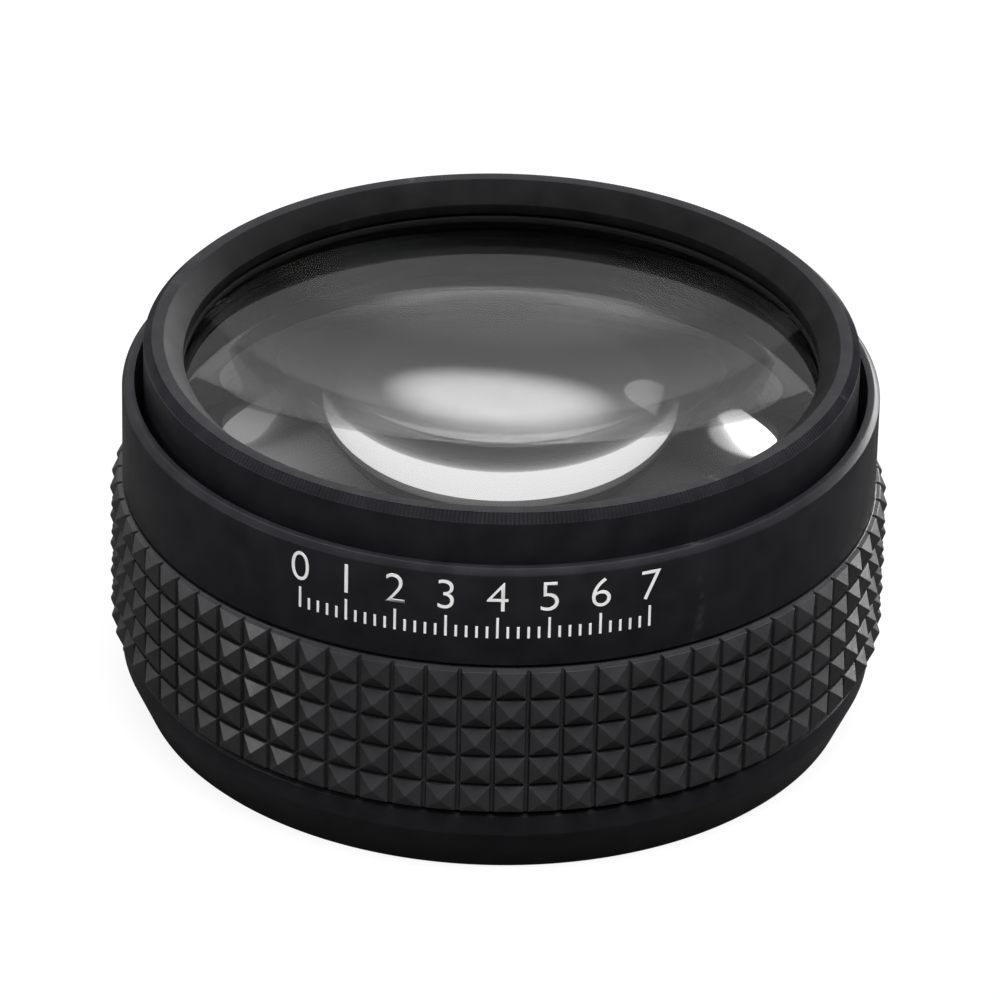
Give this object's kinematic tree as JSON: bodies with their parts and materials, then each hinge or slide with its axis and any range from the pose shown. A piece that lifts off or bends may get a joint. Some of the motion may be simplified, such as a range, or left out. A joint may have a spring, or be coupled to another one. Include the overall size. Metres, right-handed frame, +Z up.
{
  "type": "viewing loupe",
  "caption": "Hand-held focusing viewing loupe: short black barrel with pyramid-pattern rubber grip, tapered foot ring and wide knurled-top eyepiece over plano-convex glass.",
  "frame": {"origin": "centre of the foot ring's flat underside, on the surface the loupe stands on", "axes": "+Z up along the optical axis towards the eyepiece, -Y towards the printed front of the collar"},
  "size_m": [0.062, 0.062, 0.0315],
  "materials": {
    "anodised_black": "satin black anodised",
    "blackened_inner": "matte black anodised",
    "grip_rubber": "matte moulded",
    "optical_glass": "polished",
    "black_steel": "black oxide",
    "black_nylon": "matte",
    "white_marking": "printed white ink"
  },
  "bodies": {
    "barrel": {"barrel": "anodised_black", "rubber_grip": "grip_rubber", "base_ring": "anodised_black", "guide_screw_1": "black_steel", "guide_screw_2": "black_steel", "guide_screw_3": "black_steel"},
    "damping_ring": {"damping_ring": "black_nylon"},
    "eyepiece": {"eyepiece_bezel": "anodised_black", "lens_cell": "blackened_inner", "bezel_screw_1": "black_steel", "bezel_screw_2": "black_steel", "bezel_screw_3": "black_steel", "upper_lens_washer": "black_nylon", "upper_lens": "optical_glass", "lens_spacer": "blackened_inner", "lower_lens": "optical_glass", "lower_retaining_ring": "blackened_inner"}
  },
  "joints": [
    {"name": "eyepiece_rise", "type": "slide", "parent": "barrel", "child": "damping_ring", "axis": [0, 0, 1], "range_m": [-0.0015, 0.0025]},
    {"name": "focus_turn", "type": "hinge", "parent": "damping_ring", "child": "eyepiece", "pos_m": [0, 0, 0.0157], "axis": [0, 0, 1], "range_deg": [-37.5, 62.5]}
  ],
  "couplings": [
    {"joint": "eyepiece_rise", "follows": "focus_turn", "m_per_rad": 0.0022918}
  ]
}
